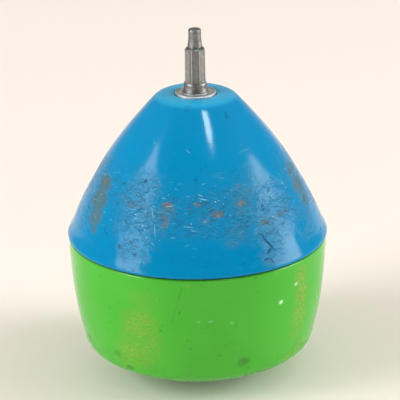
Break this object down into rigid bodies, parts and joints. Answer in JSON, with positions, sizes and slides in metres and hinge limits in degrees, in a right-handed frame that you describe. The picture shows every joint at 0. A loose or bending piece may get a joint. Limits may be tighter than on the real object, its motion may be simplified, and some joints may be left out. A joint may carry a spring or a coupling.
{
  "type": "spinning top",
  "caption": "Two-part plastic throwing top with a fluted steel tip turning in a ball bearing, standing on its flat crown.",
  "frame": {"origin": "middle of the crown cap's flat face, on which the top stands tip up", "axes": "+Z along the spin axis from the crown towards the steel tip; one flute of the tip faces -Y, turned 3 degrees towards +X"},
  "size_m": [0.064, 0.064, 0.0876],
  "materials": {
    "blue_plastic": "glossy moulded plastic, scuffed in a band near the seam",
    "green_plastic": "glossy moulded plastic, scratched",
    "tip_steel": "dull turned steel with bright worn edges",
    "bearing_steel": "ground bearing steel, slightly tarnished",
    "shield_steel": "pressed sheet steel, tarnished",
    "ball_steel": "polished",
    "zinc_steel": "bright zinc plate",
    "spring_steel": "dark oiled",
    "brass": "turned brass"
  },
  "bodies": {
    "body": {"tip_side_shell": "blue_plastic", "crown_side_shell": "green_plastic", "crown_cap": "green_plastic", "crown_screw": "zinc_steel", "screw_washer": "zinc_steel", "threaded_insert": "brass", "bearing_outer_race": "bearing_steel", "bearing_shield_top": "shield_steel", "bearing_shield_bottom": "shield_steel"},
    "tip": {"spinning_tip": "tip_steel", "bearing_inner_race": "bearing_steel", "shim_washer": "zinc_steel", "snap_ring": "spring_steel"},
    "cage": {"bearing_cage": "spring_steel"},
    "ball_1": {"bearing_ball_1": "ball_steel"},
    "ball_2": {"bearing_ball_2": "ball_steel"},
    "ball_3": {"bearing_ball_3": "ball_steel"},
    "ball_4": {"bearing_ball_4": "ball_steel"},
    "ball_5": {"bearing_ball_5": "ball_steel"},
    "ball_6": {"bearing_ball_6": "ball_steel"},
    "ball_7": {"bearing_ball_7": "ball_steel"},
    "ball_8": {"bearing_ball_8": "ball_steel"}
  },
  "joints": [
    {"name": "tip_spin", "type": "hinge", "parent": "body", "child": "tip", "pos_m": [0, 0, 0.0719], "axis": [0, 0, 1], "continuous": true},
    {"name": "cage_spin", "type": "hinge", "parent": "body", "child": "cage", "pos_m": [0, 0, 0.0699], "axis": [0, 0, 1], "continuous": true},
    {"name": "ball_1_spin", "type": "hinge", "parent": "cage", "child": "ball_1", "pos_m": [0.00365, 0, 0.0699], "axis": [0, 0, 1], "continuous": true},
    {"name": "ball_2_spin", "type": "hinge", "parent": "cage", "child": "ball_2", "pos_m": [0.00258, 0.00258, 0.0699], "axis": [0, 0, 1], "continuous": true},
    {"name": "ball_3_spin", "type": "hinge", "parent": "cage", "child": "ball_3", "pos_m": [0, 0.00365, 0.0699], "axis": [0, 0, 1], "continuous": true},
    {"name": "ball_4_spin", "type": "hinge", "parent": "cage", "child": "ball_4", "pos_m": [-0.00258, 0.00258, 0.0699], "axis": [0, 0, 1], "continuous": true},
    {"name": "ball_5_spin", "type": "hinge", "parent": "cage", "child": "ball_5", "pos_m": [-0.00365, 0, 0.0699], "axis": [0, 0, 1], "continuous": true},
    {"name": "ball_6_spin", "type": "hinge", "parent": "cage", "child": "ball_6", "pos_m": [-0.00258, -0.00258, 0.0699], "axis": [0, 0, 1], "continuous": true},
    {"name": "ball_7_spin", "type": "hinge", "parent": "cage", "child": "ball_7", "pos_m": [0, -0.00365, 0.0699], "axis": [0, 0, 1], "continuous": true},
    {"name": "ball_8_spin", "type": "hinge", "parent": "cage", "child": "ball_8", "pos_m": [0.00258, -0.00258, 0.0699], "axis": [0, 0, 1], "continuous": true}
  ],
  "couplings": [
    {"joint": "cage_spin", "follows": "tip_spin", "ratio": 0.40411},
    {"joint": "ball_1_spin", "follows": "tip_spin", "ratio": -2.5113},
    {"joint": "ball_2_spin", "follows": "tip_spin", "ratio": -2.5113},
    {"joint": "ball_3_spin", "follows": "tip_spin", "ratio": -2.5113},
    {"joint": "ball_4_spin", "follows": "tip_spin", "ratio": -2.5113},
    {"joint": "ball_5_spin", "follows": "tip_spin", "ratio": -2.5113},
    {"joint": "ball_6_spin", "follows": "tip_spin", "ratio": -2.5113},
    {"joint": "ball_7_spin", "follows": "tip_spin", "ratio": -2.5113},
    {"joint": "ball_8_spin", "follows": "tip_spin", "ratio": -2.5113}
  ]
}
